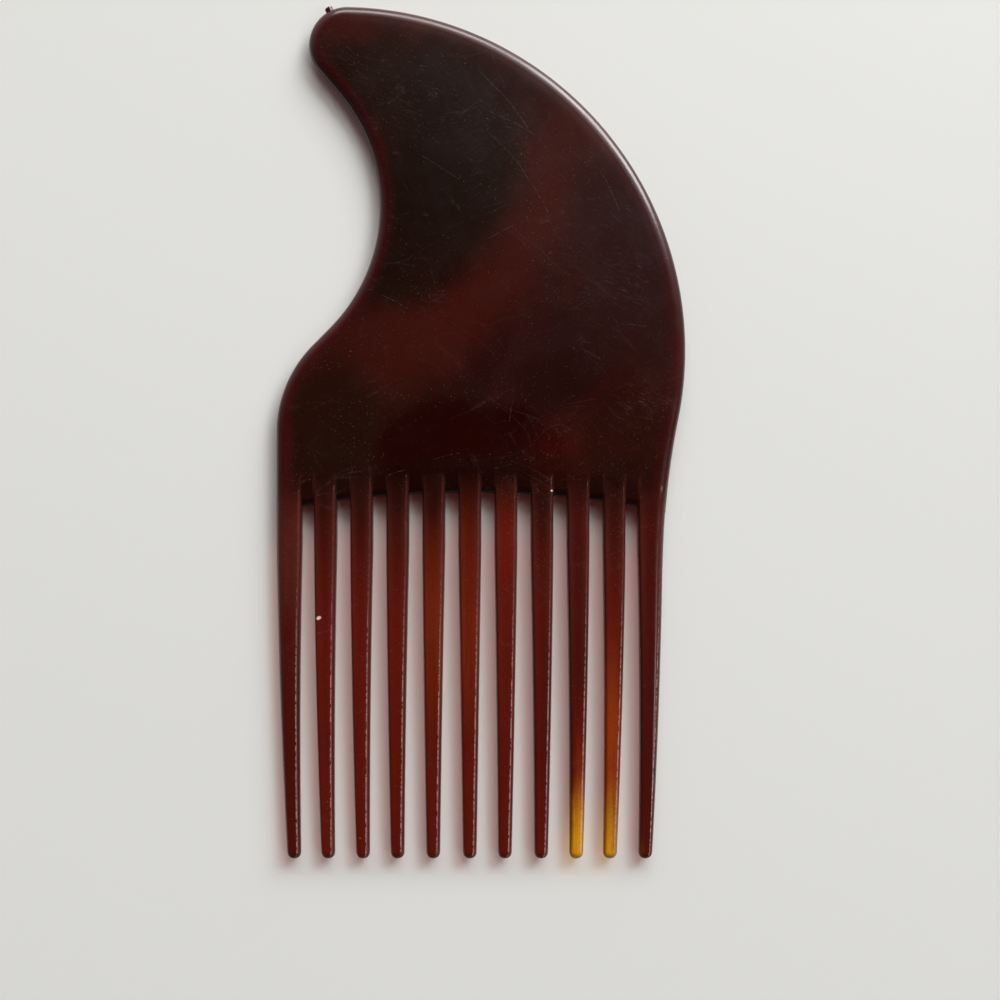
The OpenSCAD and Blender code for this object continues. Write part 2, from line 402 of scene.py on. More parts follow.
# Squareness of a tooth's end (2 is round), the widest that its edges may be as a share of its width,
# and how far the side of the grip lies outside that of a plain last tooth
TIP_POWER = 2.4
EDGE_LIMIT = 0.45
END_SIDE = 0.25 * MM

# Squareness of the rim's section (2 is round), and half the width of the line where the mould parted
RIM_POWER = 2.0
SEAM_HALF = 0.06 * MM

# How finely the rim and each arc of the outline are divided, and the rings on the face
RIM_STEPS = 7
FACE_RINGS = (1.1 * MM, 2.6 * MM)
SHOULDER_STEPS = 20
BAY_STEPS = 44
KNOB_STEPS = 28
BACK_STEPS = 96
FLARE_STEPS = 14
CREST_STEPS = 40

# Points on each straight stretch of the edge, for distances from it
EDGE_PARTS = 60

# Directions on the rounded end of a gap, in degrees, and the places and points of a tooth's rings
NOSE_TURNS = (25, 50, 70, 82)
ROOT_STEPS = 5
SHANK_STEPS = 13
END_PARTS = (0.3, 0.55, 0.75, 0.9, 0.97)
SECTION_POINTS = 24

# The gate stub: how many points it has round it, how far each ring of its broken end is inset and
# raised, and how rough that end is
GATE_POINTS = 14
GATE_BREAK = ((0.12 * MM, 0.08 * MM), (0.2 * MM, 0.05 * MM))
GATE_ROUGHNESS = 0.06 * MM
GATE_SEED = 4

# How squarely a picked face looks the asked way: the grip's lower side and the stub's uneven end
LOWER_SIDE = 0.9
STUB_END = 0.5

# What each point keeps: its distance from the grip's edge, from the ends of the gaps, and from the
# nearer and the right side of its tooth, and its place across the tooth
NOTES = ("rim_distance", "over_gap", "tooth_inset", "right_side", "across_tooth")

# Edges that bend more than this stay sharp
SHARP_ANGLE = radians(38)

# Patches of colour in the plastic, in millimetres and degrees: the middle, half the size along and
# across, the turn of the long side, how soft the edge is as a share of the size, how strong it is,
# and the colour
Patch = namedtuple("Patch", "x y along across turn softness strength colour", defaults=("dust",))
GRIP_PATCHES = (
    (3, 33, 30, 8, 55, 0.6, 0.8, "ember"),
    (-16, 15, 18, 8, 30, 0.6, 0.6, "ember"),
    (-10, 37.5, 19, 12, 44, 0.25, 0.9, "smoke"),
    (-5, 51, 17, 12.5, 75, 0.45, 0.9, "smoke"),
    (-16, 61.5, 14, 7.5, -30, 0.45, 0.85, "smoke"),
    (24.5, 31.5, 17, 7, 108, 0.6, 0.9, "damson"),
    (12, 14.7, 13, 7, 30, 0.7, 0.7, "damson"),
    (-26, 1.5, 12, 8, 90, 0.45, 0.9, "olive"),
    (-13, 2, 9, 8, 0, 0.6, 0.5, "olive"),
    (26, -3, 9, 7.5, 60, 0.4, 0.8, "bark"),
    (11, 8, 10, 5, 20, 0.8, 0.3, "umber"),
    (-1.3, -6.5, 18, 12.3, -2, 0.13, 0.95, "night"),
    (14, -7, 8, 5, 80, 0.8, 0.16, "scarlet"),
    (-2, -9.5, 38, 4.6, 0, 0.6, 0.55, "umber"),
    (-35, -3, 14, 2.6, 90, 0.5, 0.8, "ember"),
    (-23.1, 71.6, 4.5, 2.6, 0, 0.7, 0.5, "ember"),
)
TOOTH_PATCHES = (
    (-33.4, -48, 44, 3, 90, 0.3, 0.8, "shaded"),
    (-33.8, -20, 11, 3, 90, 0.5, 0.4, "flank_sheen"),
    (-5.2, -34, 15, 6, 90, 0.6, 0.28, "orange"),
    (4.4, -17, 12, 2.8, 90, 0.6, 0.9, "scarlet"),
    (-1.9, -19, 14, 2.8, 90, 0.6, 0.5, "scarlet"),
    (10.7, -44, 22, 3, 90, 0.5, 0.5, "shaded"),
    (17, -27, 22, 3, 90, 0.35, 0.9, "shaded"),
    (29.5, -30, 46, 3.4, 90, 0.4, 0.9, "shaded"),
    (16.8, -78, 18, 3.4, 90, 0.6, 0.9, "orange"),
    (22.8, -70, 28, 3.4, 90, 0.4, 0.85, "orange"),
    (16.9, -78, 12, 3.4, 90, 0.6, 1, "amber"),
    (22.8, -79, 11, 3.4, 90, 0.9, 1, "amber"),
    (15.5, -58, 14, 0.7, 90.6, 0.7, 0.8, "shaded"),
)

# A chip in a tooth and a pale speck on the slope, as patches
CHIPS = (
    (-28.4, -32.5, 0.42, 0.28, 25, 0.35, 0.95, "chip"),
    (12.4, -10.2, 0.2, 0.15, 0, 0.5, 0.8, "chip"),
)

# Scuffed places, and a faint grey film over the upper part of the grip, as patches
SCUFFS = (
    (25.5, 27.5, 6, 4, 90, 0.6, 1),
    (28.5, 5, 5, 4, 0, 0.6, 0.8),
    (-24, 67, 5, 2.5, -50, 0.6, 1),
    (-15, 61, 14, 7, -30, 0.7, 0.5),
    (9, 49, 12, 7, -50, 0.7, 0.45),
    (21, 30, 16, 9, 100, 0.7, 0.35),
    (-34, -28, 13, 1.4, 90, 0.7, 0.5),
)
FILM = (8, 56, 42, 16, -50, 0.95, 0.03)

# Single scratches in the grip: the middle, the length, the direction and how far the middle bows out
Scratch = namedtuple("Scratch", "x y length turn bow")
SCRATCHES = (
    (5.4, 54.3, 10, -27, 0),
    (4.5, 58.3, 14.5, -49, 0.5),
    (8, 45, 22, -56, 1.6),
    (-7.3, 46.6, 8.4, -31, 0.2),
    (3.6, 35.2, 5.5, 27, 0.1),
    (22.8, 42.3, 8.2, -62, 0.2),
    (26.8, 18.9, 5, -4, 0),
    (-6, -4, 5, 15, 0.4),
    (-15, -7, 3.5, 15, 0.1),
    (5.2, 3.6, 3.8, 78, 0.1),
    (-14.9, 23, 5.5, -27, 0.2),
)

# A size that leaves height out of a patch, the width of a scratch and how much of it is full, where
# its ends fade, and the noise that breaks it up
FLAT = 10000
SCRATCH_WIDTH = 0.06
SCRATCH_CORE = 0.2
SCRATCH_ENDS = (1, 0.6)
BREAKS = (0.6, 2, 0.7)
BREAKS_FADE = (0.35, 0.65)

# Streaky noise: the direction, length and width of the streaks, how fine they are, and the values
# between which they fade in
Streaks = namedtuple("Streaks", "turn along across detail roughness low high")
CLOUDS = Streaks(50, 14, 6, 3, 0.55, 0.35, 0.7)
TOOTH_STREAKS = Streaks(90, 24, 1.1, 3, 0.6, 0.45, 0.7)
GLINT_BREAKS = Streaks(90, 0.7, 0.4, 2, 0.6, 0.36, 0.62)
GRIT = Streaks(-24, 1.8, 0.32, 3, 0.7, 0.52, 0.85)

# Hairlines: their direction, length and how far apart they are, the streaks where they show, and how
# near the middle value of their noise they lie
HAIRLINES = ((-52, 90, 2.2), (-38, 120, 2.8), (20, 80, 3.2))
HAIRLINE_STRETCH = (11, 5, 2, 0.5, 0.5, 0.7)
HAIRLINE_FADE = (0.014, 0.002)

# Size and amount of the waves that bend each of these
GRIP_SHIFTS = ((14, 6), (3, 1.8))
TOOTH_SHIFT = (5, 1.2)
SCRATCH_SHIFT = (5, 0.9)
HAIRLINE_SHIFT = (30, 16)
GRIT_SHIFT = (4, 1.5)

# The middle values of soft noise, between which most of it lies
NOISE_FADE = (0.3, 0.7)

# Specks of dust: their spacing, the largest size, in what share of the places one lies, and, in parts
# of the spacing, how much is taken off each and how soft its edge is. Flecks of dust: their size, the
# size of the areas with more of them, and the value of the noise over which they show, which varies by
# the spread
SPECKS = (5.3, 0.24, 0.3)
SPECK_SHRINK = 0.01
SPECK_EDGE = (0.01, -0.02)
FLECK_SIZE = 0.22
FLECK_AREAS = 9
FLECK_LIMIT = 0.765
FLECK_SPREAD = 0.06

# Distances, in millimetres, between which a look fades in. The painted red glow of the rim is measured from
# the rim, what lies on and beside a tooth from its side, the painted shade on the ends of the gaps and the
# clearer plastic from where the gaps end, the painted highlight and shade lines from a tooth's side, and
# the painted glint from its own middle
WINE_FADE = (3.6, 0.8)
TOOTH_FADE = (-0.02, 0.08)
BESIDE_FADE = (0.08, -0.02)
GAP_END_FADE = (1.5, 1.1)
CLEAR_FADE = (0.2, -5)
LIGHT_LINE_FADE = (0.7, 0.4)
DARK_LINE_FADE = (0.35, 0.15)
GLINT_FADE = (0.11, 0.02)

# Heights on the pick between which a look comes in: the darker roots, the plastic of the teeth, the
# painted sheen bands, the painted highlight lines and where these start, the painted shade lines, the
# painted glint lines and where these get stronger
ROOT_HEIGHTS = (-35, -8)
TEETH_HEIGHTS = (-6, -19)
FLANK_HEIGHTS = (-62, -18)
LIGHT_LINE_HEIGHTS = (-45, -12)
LIGHT_LINE_START = (-6.2, -10)
DARK_LINE_START = (-6.6, -9)
GLINT_START = (-9, -14)
GLINT_HEIGHTS = (-22, -48)

# How far across a tooth the painted sheen band fades in, and how bright the plastic is that lets most
# light through
FLANK_FADE = (0.1, 0.8)
BRIGHT_FADE = (0.02, 0.25)

# How strongly the colours and marks show at most
WINE_STRENGTH = 0.75
STREAK_STRENGTH = 0.4
FLANK_STRENGTH = 0.36
LIGHT_LINE_STRENGTH = 0.22
DARK_LINE_STRENGTH = 0.7
GAP_END_STRENGTH = 0.9
HAIRLINE_STRENGTH = 0.3
FLECK_STRENGTH = 0.6
SPECK_STRENGTH = 0.8
MARK_STRENGTH = 0.38

# How far from the right side of a tooth its painted glint, a broken highlight line, runs, how strong it
# is near the grip, and how much stronger it gets towards the tip
GLINT_PLACE = 0.62
GLINT_FAINT = 0.06
GLINT_GAIN = 0.62

# Fine grain, with how fine it is, and soft waves: their sizes, and the range of tones and the lowest
# tone of the grain
GRAIN = (0.35, 3, 0.8)
WAVE_SIZE = 5
GRAIN_RANGE = (1.1, 1.1, 1.1)
GRAIN_LOW = (0.45, 0.45, 0.45)

# How deep they and the marks are in the surface
GRAIN_DEPTH = 0.004
MARK_DEPTH = 0.006
WAVE_DEPTH = 0.02

# The slight fall of the face towards the rim: how far from the edge it starts and ends, how fast it
# steepens, and its depth
FALL_START = 4.8
FALL_END = 2.2
FALL_POWER = 2.5
FALL_DEPTH = 0.07

# How much the roughness varies, and how much rougher a mark is
UNEVEN = 0.08
MARK_ROUGHNESS = 0.3

# Light that one surface of the brightest plastic lets through
BRIGHT_SHADOW = (0.95, 0.75, 0.4)

# The floor, the distance of the windows, and the camera's sensor and nearest view
FLOOR_SIZE = 6
FLOOR_GAP = 0.05 * MM
FLOOR_ROUGHNESS = 0.6
WINDOW_REACH = 2.4
SENSOR = 36
NEAREST = 0.01

# The windows: degrees to the right of +Y and over the floor, size, and how bright they are
Window = namedtuple("Window", "side rise size strength")
WINDOWS = (
    Window(side=37.5, rise=26, size=(1.3, 1.0), strength=1.6),
    Window(side=-1, rise=26, size=(1.5, 0.7), strength=0.95),
)

# The colour of the room's light, how bright its ceiling and walls are, how dim its near side is, and
# between which values of a way's Y and Z the light comes in ahead and down the walls
ROOM_COLOUR = (1, 0.985, 0.96)
CEILING_LIGHT = 0.012
WALL_LIGHT = 0.67
DIM_SIDE = 0.15
AHEAD_FADE = (-0.2, 0.9)
WALL_FADE = (0.9, 0.3)

# Glows in the room: where each lies, as for a window, how many degrees its bright middle and the
# whole of it reach, how steep it is and how bright
Glow = namedtuple("Glow", "side rise inner outer power light")
GLOWS = (
    Glow(side=28, rise=30, inner=5, outer=47, power=3, light=2.1),
    Glow(side=112, rise=43, inner=4, outer=11, power=1, light=5),
)


def deselect_all():
    """Leaves nothing selected, in object mode."""
    if bpy.context.object and bpy.context.object.mode != "OBJECT":
        bpy.ops.object.mode_set(mode="OBJECT")
    bpy.ops.object.select_all(action="DESELECT")


def select_only(*things):
    """Makes these objects the selected ones, and the first of them the active one."""
    deselect_all()
    for thing in things:
        thing.select_set(True)
    bpy.context.view_layer.objects.active = things[0]


def choose(kind, test):
    """In edit mode, selects the verts, edges or faces that pass a test, and nothing else."""
    modes = {"verts": "VERT", "edges": "EDGE", "faces": "FACE"}
    bpy.ops.mesh.select_mode(type=modes[kind])
    bpy.ops.mesh.select_all(action="DESELECT")
    data = bpy.context.object.data
    mesh = bmesh.from_edit_mesh(data)
    for part in getattr(mesh, kind):
        if test(part):
            part.select_set(True)
    mesh.select_flush_mode()
    bmesh.update_edit_mesh(data)


def edit_in_place():
    """Puts the new object's place into its mesh and enters edit mode."""
    bpy.ops.object.transform_apply(location=True, rotation=True, scale=True)
    bpy.ops.object.mode_set(mode="EDIT")


def extrude(x=0.0, y=0.0):
    """Extrudes what is selected by a way."""
    bpy.ops.mesh.extrude_region_move(TRANSFORM_OT_translate={"value": (x, y, 0)})


def resize(about, x=1.0, z=1.0):
    """Resizes what is selected about a place."""
    bpy.ops.transform.resize(value=(x, 1, z), center_override=about)


def draw_on(place, arc):
    """Draws a straight line on from the selected vertex, which is at place, and then an arc."""
    way = at(arc.circle, arc.start) - place
    if way.length > SAME_PLACE:
        extrude(way.x, way.y)
    centre = (arc.circle.centre.x, arc.circle.centre.y, 0)
    bpy.ops.mesh.spin(steps=arc.steps, angle=arc.end - arc.start, center=centre, axis=(0, 0, -1))
    return at(arc.circle, arc.end)


def draw_outline(plan, level):
    """Draws the outline of the grip on one level, from one point spun on from arc to arc."""
    place = plan.crest_corners(level)[1]
    bpy.ops.mesh.primitive_plane_add(size=MM, location=(place.x, place.y, plan.half_t + level.height))
    if bpy.context.object.mode != "EDIT":
        edit_in_place()
    bpy.ops.mesh.select_mode(type="VERT")
    bpy.ops.mesh.merge(type="CENTER")
    for arc in plan.outline(level):
        place = draw_on(place, arc)
    bpy.ops.mesh.select_linked()
    bpy.ops.mesh.remove_doubles(threshold=SAME_PLACE)


def close_mesh():
    """Merges doubles and turns all faces outwards."""
    bpy.ops.mesh.select_all(action="SELECT")
    bpy.ops.mesh.remove_doubles(threshold=SAME_PLACE)
    bpy.ops.mesh.normals_make_consistent(inside=False)


def finish_edit():
    """Closes the mesh and leaves edit mode."""
    close_mesh()
    bpy.ops.object.mode_set(mode="OBJECT")


def mould_plate(plan):
    """Draws the outline level by level, flattens the front face and mirrors it all downwards."""
    deselect_all()
    levels = plan.levels()
    draw_outline(plan, levels[0])
    bpy.context.object.name = "hair_pick"
    for last, level in zip(levels, levels[1:]):
        draw_outline(plan, level)
        low, high = plan.half_t + last.height - SAME_PLACE, plan.half_t + level.height + SAME_PLACE
        choose("edges", lambda edge: len(edge.link_faces) < 2 and low < edge.verts[0].co.z < high)
        bpy.ops.mesh.bridge_edge_loops()
    choose("edges", lambda edge: len(edge.link_faces) < 2 and edge.verts[0].co.z > low)
    bpy.ops.mesh.edge_face_add()
    choose("verts", lambda vert: vert.co.z > plan.thickness - SAME_PLACE)
    resize(z=0, about=(0, 0, plan.thickness))
    bpy.ops.mesh.select_all(action="SELECT")
    bpy.ops.mesh.duplicate()
    resize(z=-1, about=(0, 0, plan.half_t))
    close_mesh()


def slope_web(plan):
    """Draws the lower edge of the grip out into the slope and the rounded end of the gaps."""
    sizes = plan.sizes
    half_web = sizes.web_thickness / 2
    stations = [(sizes.slope_length - sizes.web_round, half_web)]
    for turn in NOSE_TURNS:
        drop = sizes.slope_length - sizes.web_round * (1 - sin(radians(turn)))
        stations.append((drop, half_web * cos(radians(turn))))
    corner_y = plan.crest_corners(Level(0, 0, 0))[2].y
    choose("faces", lambda face: face.normal.y < -LOWER_SIDE)
    last_drop, last_half, last_right = 0, plan.half_t, plan.flare_x(corner_y)
    for drop, half in stations:
        right = plan.flare_x(corner_y - drop)
        widening = (right - plan.left_x) / (last_right - plan.left_x)
        extrude(y=last_drop - drop)
        resize(x=widening, z=half / last_half, about=(plan.left_x, 0, plan.half_t))
        last_drop, last_half, last_right = drop, half, right


def model_grip(plan):
    """The grip without its teeth, as a closed mesh."""
    mould_plate(plan)
    slope_web(plan)
    finish_edit()
    return bpy.context.object


def tooth_stations(plan):
    """Places along a tooth, from its start inside the grip to its end."""
    row = plan.row
    shank_end = plan.tip_y + row.tip_round
    root = [mix(row.top_y, row.taper_y, k / ROOT_STEPS) for k in range(ROOT_STEPS)]
    shank = [mix(row.taper_y, shank_end, k / SHANK_STEPS) for k in range(SHANK_STEPS + 1)]
    end = [shank_end - row.tip_round * part for part in END_PARTS]
    return root + shank + end


def choose_ring(y, side=0):
    """Selects the ring of a straight tooth at y, all of it or its left (-1) or right (1) side."""
    choose("verts", lambda vert: abs(vert.co.y - y) < SAME_PLACE and vert.co.x * side >= 0)


def model_straight_tooth(plan, i):
    """Tooth i with a straight middle line at x = 0: a round section, widened and drawn out."""
    deselect_all()
    stations = tooth_stations(plan)
    half_step = pi / SECTION_POINTS
    half_t = plan.tooth_thickness(stations[0]) / 2
    radius = half_t / cos(half_step)
    bpy.ops.mesh.primitive_circle_add(
        vertices=SECTION_POINTS,
        radius=radius,
        fill_type="NGON",
        location=(0, stations[0], plan.half_t),
        rotation=(pi / 2, half_step, 0),
    )
    tooth = bpy.context.object
    edit_in_place()
    edges = {-1: radius, 1: radius}
    ends = {-1: 0, 1: 0}
    last_half_t, last_y = half_t, stations[0]
    for y in stations:
        if y < last_y:
            choose_ring(last_y)
            extrude(y=y - last_y)
        new_half_t = plan.tooth_thickness(y) / 2
        choose_ring(y)
        resize(z=new_half_t / last_half_t, about=(0, y, plan.half_t))
        for side in (-1, 1):
            edge = plan.tooth_edge(i, side, y)
            end = side * (plan.tooth_width(i, y) / 2 - edge)
            choose_ring(y, side)
            resize(x=edge / edges[side], about=(ends[side], y, plan.half_t))
            bpy.ops.transform.translate(value=(end - ends[side], 0, 0))
            edges[side], ends[side] = edge, end
        last_half_t, last_y = new_half_t, y
    finish_edit()
    return tooth


def lay_tooth(plan, straight, i):
    """Copies a straight tooth and bends the copy along the middle line of tooth i."""
    select_only(straight)
    bpy.ops.object.duplicate(linked=False)
    bpy.ops.object.mode_set(mode="EDIT")
    for y in tooth_stations(plan):
        choose_ring(y)
        bpy.ops.transform.translate(value=(plan.tooth_x(i, y), 0, 0))
    bpy.ops.object.mode_set(mode="OBJECT")
    return bpy.context.object


def model_teeth(plan):
    """The whole row of teeth in one object: the two end teeth have an outer side of their own."""
    last = plan.row.count - 1
    patterns = {i: model_straight_tooth(plan, i) for i in (0, 1, last)}
    teeth = [lay_tooth(plan, patterns.get(i, patterns[1]), i) for i in range(plan.row.count)]
    select_only(*patterns.values())
    bpy.ops.object.delete()
    select_only(*teeth)
    bpy.ops.object.join()
    return bpy.context.object


def model_gate_stub(plan):
    """The snapped-off stub on the knob where the plastic went into the mould."""
    sizes = plan.sizes
    deselect_all()
    turn = sizes.gate_direction
    foot = at(Circle(plan.knob.centre, sizes.knob_radius / 2), turn)
    depth = sizes.knob_radius / 2 + sizes.gate_height
    way = Vector((cos(turn), sin(turn), 0))
    bpy.ops.mesh.primitive_cylinder_add(
        vertices=GATE_POINTS,
        radius=sizes.gate_diameter / 2,
        depth=depth,
        location=Vector((foot.x, foot.y, plan.half_t)) + way * depth / 2,
        rotation=(0, pi / 2, turn),
    )
    stub = bpy.context.object
    edit_in_place()
    for inset, rise in GATE_BREAK:
        choose("faces", lambda face: len(face.verts) == GATE_POINTS and face.normal.dot(way) > STUB_END)
        bpy.ops.mesh.inset(thickness=inset)
        bpy.ops.transform.translate(value=way * rise)
        bpy.ops.transform.vertex_random(offset=GATE_ROUGHNESS, seed=GATE_SEED)
    finish_edit()
    return stub


def modify(piece, kind, **settings):
    """Applies a modifier to the selected piece."""
    bpy.ops.object.modifier_add(type=kind)
    modifier = piece.modifiers[-1]
    for name, value in settings.items():
        setattr(modifier, name, value)
    bpy.ops.object.modifier_apply(modifier=modifier.name)


def weld(body, addition):
    """Joins two closed meshes into one skin."""
    select_only(body)
    modify(body, "BOOLEAN", operation="UNION", solver="EXACT", object=addition)
    select_only(addition)
    bpy.ops.object.delete()


def smooth(piece):
    """Shades the piece smooth between its sharp edges, with its flat faces kept flat."""
    select_only(piece)
    bpy.ops.object.shade_smooth_by_angle(angle=SHARP_ANGLE)
    modify(piece, "WEIGHTED_NORMAL", keep_sharp=True)


def note_places(piece, plan):
    """Keeps on each point, in millimetres, how far it is from the edges of the grip and of its tooth."""
    edge = plan.edge_points()
    tree = KDTree(len(edge))
    for i, place in enumerate(edge):
        tree.insert((place.x, place.y, 0), i)
    tree.balance()
    for name in NOTES:
        piece.data.attributes.new(name, "FLOAT", "POINT")
    notes = [piece.data.attributes[name].data for name in NOTES]
    for i, point in enumerate(piece.data.vertices):
        x, y = point.co.x, point.co.y
        rim_distance = tree.find((x, y, 0))[2]
        over_gap = (Vector((x, y)) - plan.arch.centre).length - plan.arch.radius
        for note, value in zip(notes, (rim_distance, over_gap, *plan.place_on_teeth(x, y))):
            note[i].value = value / MM


class NodeSheet:
    """A node tree, with short ways to add its nodes and join them."""

    def __init__(self, tree):
        self.tree = tree

    def feed(self, socket, value):
        """Gives a socket a link, an opaque colour or another value."""
        if isinstance(value, bpy.types.NodeSocket):
            self.tree.links.new(value, socket)
        elif socket.type == "RGBA":
            socket.default_value = (*value, 1)
        else:
            socket.default_value = value

    def put(self, kind, inputs=None, **settings):
        """Adds a node, with values or links for its inputs."""
        node = self.tree.nodes.new("ShaderNode" + kind)
        for name, value in settings.items():
            setattr(node, name, value)
        for name, value in (inputs or {}).items():
            self.feed(node.inputs[name], value)
        return node

    def math(self, operation, *values):
        """A sum on numbers."""
        return self.put("Math", dict(enumerate(values)), operation=operation).outputs["Value"]

    def scaled(self, value, times, plus):
        """A value times another, plus a third."""
        return self.math("MULTIPLY_ADD", value, times, plus)

    def vector(self, operation, *values, output="Vector", **named):
        """A sum on places, ways or colours."""
        inputs = {**dict(enumerate(values)), **named}
        return self.put("VectorMath", inputs, operation=operation).outputs[output]

    def note(self, name):
        """What the points keep under a name."""
        return self.put("Attribute", attribute_name=name).outputs["Fac"]

    def chain(self, operation, values):
        """One sum on the first two values, on its result and the third, and so on."""
        result = values[0]
        for value in values[1:]:
            result = self.math(operation, result, value)
        return result

    def product(self, *values):
        """All the values multiplied."""
        return self.chain("MULTIPLY", values)

    def strongest(self, *values):
        """The highest of the values."""
        return self.chain("MAXIMUM", values)

    def apart(self, first, second):
        """How far apart two values are."""
        return self.math("ABSOLUTE", self.math("SUBTRACT", first, second))

    def fade(self, value, low, high, way="SMOOTHSTEP"):
        """Goes from 0 where the value is low to 1 where it is high."""
        ends = {"Value": value, "From Min": low, "From Max": high}
        return self.put("MapRange", ends, interpolation_type=way).outputs["Result"]

    def blend(self, part, first, second, way="MIX"):
        """The first colour, with a part of the second one."""
        inputs = {0: part, 6: first, 7: second}
        return self.put("Mix", inputs, data_type="RGBA", blend_type=way).outputs[2]

    def noise_node(self, place, size, detail=2.0, roughness=0.5):
        """A node with soft noise in features of one size."""
        inputs = {"Vector": place, "Scale": 1 / size, "Detail": detail, "Roughness": roughness}
        return self.put("TexNoise", inputs)

    def noise(self, *shape):
        """Soft noise as one value from 0 to 1."""
        return self.noise_node(*shape).outputs["Fac"]

    def measure(self, place, turn, size, middle=(0, 0, 0)):
        """The place measured from a middle along a direction, in parts of a size."""
        inputs = {"Vector": place, "Location": middle, "Rotation": (0, 0, radians(turn)), "Scale": size}
        return self.put("Mapping", inputs, vector_type="TEXTURE").outputs["Vector"]

    def streaks(self, place, kind):
        """Where streaks of one kind show."""
        noise = self.drawn_out(place, kind.turn, kind.along, kind.across, kind.detail, kind.roughness)
        return self.fade(noise, kind.low, kind.high)

    def drawn_out(self, place, turn, along, across, detail, roughness):
        """Noise with features of one direction, length and width."""
        return self.noise(self.measure(place, turn, (along, across, across)), 1, detail, roughness)

    def shift(self, place, size, amount):
        """The place moved about by noise of one size, by up to half the amount each way."""
        noise = self.noise_node(place, size).outputs["Color"]
        centred = self.vector("SUBTRACT", noise, (0.5, 0.5, 0.5))
        return self.vector("ADD", place, self.vector("SCALE", centred, Scale=amount))

    def patch(self, place, patch):
        """Where a patch lies: 1 inside it, 0 outside."""
        size = (patch.along, patch.across, FLAT)
        local = self.measure(place, patch.turn, size, (patch.x, patch.y, 0))
        reach = self.vector("LENGTH", local, output="Value")
        return self.product(self.fade(reach, 1 + patch.softness, 1 - patch.softness), patch.strength)

    def scratch(self, place, scratch):
        """Where a scratch lies: 1 on it, 0 beside it."""
        size = (scratch.length / 2, 1, FLAT)
        local = self.measure(place, scratch.turn, size, (scratch.x, scratch.y, 0))
        parts = self.put("SeparateXYZ", {0: local})
        along = self.product(parts.outputs["X"], parts.outputs["X"])
        bowed = self.scaled(along, scratch.bow, parts.outputs["Y"])
        line = self.fade(self.math("ABSOLUTE", bowed), SCRATCH_WIDTH, SCRATCH_CORE * SCRATCH_WIDTH)
        return self.product(line, self.fade(along, *SCRATCH_ENDS))


def new_material(name):
    """A material with its node sheet and its shader."""
    material = bpy.data.materials.new(name)
    material.use_nodes = True
    return material, NodeSheet(material.node_tree), material.node_tree.nodes["Principled BSDF"]


def patched(sheet, plastic, place, base, rows):
    """A colour with patches of other colours laid over it."""
    for patch in (Patch(*row) for row in rows):
        base = sheet.blend(sheet.patch(place, patch), base, getattr(plastic, patch.colour))
    return base


def grip_colour(sheet, plastic, place):
    """The clouded red-brown of the grip, with a painted red glow of light through the thin plastic at the
    rim.
    """
    drift = place
    for size, amount in GRIP_SHIFTS:
        drift = sheet.shift(drift, size, amount)
    colour = sheet.blend(sheet.streaks(drift, CLOUDS), plastic.resin, plastic.cloud)
    colour = patched(sheet, plastic, drift, colour, GRIP_PATCHES)
    # Painted glow of light through the thin plastic, stronger towards the rim
    rim_glow_mask = sheet.fade(sheet.note("rim_distance"), *WINE_FADE)
    return sheet.blend(sheet.product(rim_glow_mask, WINE_STRENGTH), colour, plastic.painted_rim_glow)


def tooth_colour(sheet, plastic, place, height):
    """The clearer plastic of the teeth, with streaks along them and painted sheen bands at their sides."""
    colour = sheet.blend(sheet.fade(height, *ROOT_HEIGHTS), plastic.tooth, plastic.tooth_root)
    colour = patched(sheet, plastic, sheet.shift(place, *TOOTH_SHIFT), colour, TOOTH_PATCHES)
    streaks = sheet.product(sheet.streaks(place, TOOTH_STREAKS), STREAK_STRENGTH)
    colour = sheet.blend(streaks, colour, plastic.shaded)
    # Painted sheen in bands along the sides of the teeth
    off_middle = sheet.math("ABSOLUTE", sheet.note("across_tooth"))
    sheen_band = sheet.product(sheet.fade(off_middle, *FLANK_FADE), sheet.fade(height, *FLANK_HEIGHTS))
    return sheet.blend(sheet.product(sheen_band, FLANK_STRENGTH), colour, plastic.flank_sheen)


def tooth_sides(sheet, plastic, height, colour):
    """Painted lines along the sides of the teeth: a light painted highlight near their roots, and painted
    shade right at the sides.
    """
    inset = sheet.note("tooth_inset")
    # Painted highlight: a light line near each side of a tooth, close to its root
    light = sheet.product(sheet.fade(inset, *LIGHT_LINE_FADE), sheet.fade(height, *LIGHT_LINE_HEIGHTS))
    light = sheet.product(light, LIGHT_LINE_STRENGTH, sheet.fade(height, *LIGHT_LINE_START))
    colour = sheet.blend(light, colour, plastic.flank_sheen)
    # Painted shade: a dark line right at each side of a tooth
    dark = sheet.product(sheet.fade(inset, *DARK_LINE_FADE), sheet.fade(height, *DARK_LINE_START))
    return sheet.blend(sheet.product(dark, DARK_LINE_STRENGTH), colour, plastic.outer)


def glint_line(sheet, place, height):
    """Where the painted glint lies: a broken highlight line along the right side of each tooth."""
    line = sheet.fade(sheet.apart(sheet.note("right_side"), GLINT_PLACE), *GLINT_FADE)
    line = sheet.product(line, sheet.streaks(place, GLINT_BREAKS))
    strength = sheet.scaled(sheet.fade(height, *GLINT_HEIGHTS), GLINT_GAIN, GLINT_FAINT)
    return sheet.product(line, strength, sheet.fade(height, *GLINT_START))


